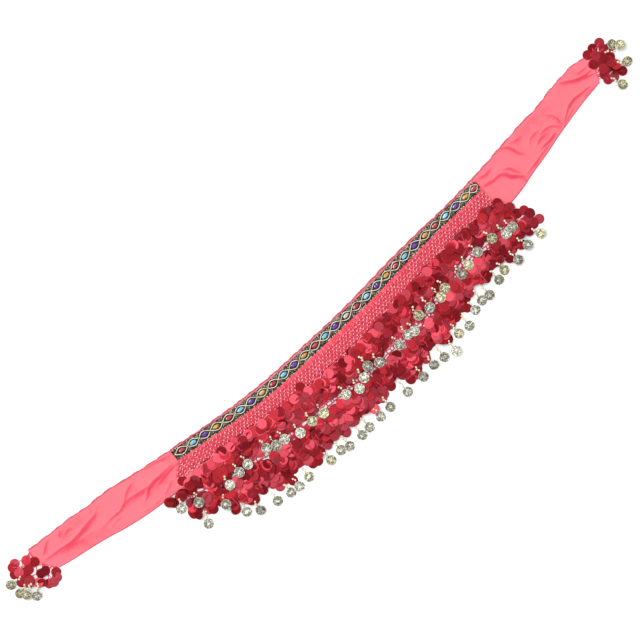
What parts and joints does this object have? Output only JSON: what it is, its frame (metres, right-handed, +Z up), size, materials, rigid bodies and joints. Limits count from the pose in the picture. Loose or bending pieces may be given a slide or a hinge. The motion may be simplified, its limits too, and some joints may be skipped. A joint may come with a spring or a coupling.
{
  "type": "belly dance hip scarf",
  "caption": "Chiffon hip scarf laid flat, with a stone-set ribbon, a beaded crochet band, two rows of paillette and coin fringe, and tasselled ties.",
  "frame": {"origin": "under the middle of the whole scarf's box, on the surface that it lies on", "axes": "+X along the scarf towards the right tie as seen from above, +Y from the fringe to the upper edge, +Z up from the surface"},
  "size_m": [1.6458, 0.2974, 0.0075],
  "materials": {
    "chiffon": "sheer woven chiffon, doubled, soft satin sheen",
    "edging": "puckered looped thread edging",
    "crochet": "close machine crochet of glossy thread",
    "ribbon": "woven antique-silver and dull gold metallic ribbon",
    "stone_red": "faceted acrylic stone, polished",
    "stone_blue": "faceted acrylic stone, polished",
    "stone_purple": "faceted acrylic stone, polished",
    "stone_gold": "faceted acrylic stone, polished",
    "stone_clear": "faceted acrylic stone, polished",
    "paillette": "metallised plastic disc, satin",
    "coin": "stamped and antiqued, worn bright on the relief",
    "bead": "cream-gold pearl bead"
  },
  "bodies": {
    "root": {"chiffon_scarf": "chiffon", "scalloped_edging": "edging", "crochet_header": "crochet", "jewel_trim": "ribbon", "lower_net": "crochet", "upper_fringe": "paillette", "lower_fringe": "paillette", "left_tassel": "paillette", "right_tassel": "paillette", "stone_01": "stone_red", "stone_02": "stone_blue", "stone_03": "stone_purple", "stone_04": "stone_gold", "stone_05": "stone_red", "stone_06": "stone_blue", "stone_07": "stone_purple", "stone_08": "stone_gold", "stone_09": "stone_red", "stone_10": "stone_blue", "stone_11": "stone_purple", "stone_12": "stone_gold", "stone_13": "stone_red", "stone_14": "stone_blue", "stone_15": "stone_purple", "stone_16": "stone_clear", "stone_17": "stone_red", "stone_18": "stone_blue", "stone_19": "stone_purple", "stone_20": "stone_gold", "stone_21": "stone_red", "stone_22": "stone_blue", "stone_23": "stone_purple", "stone_24": "stone_gold", "stone_25": "stone_red", "stone_26": "stone_blue", "stone_27": "stone_purple", "stone_28": "stone_gold", "stone_29": "stone_red"}
  },
  "joints": []
}
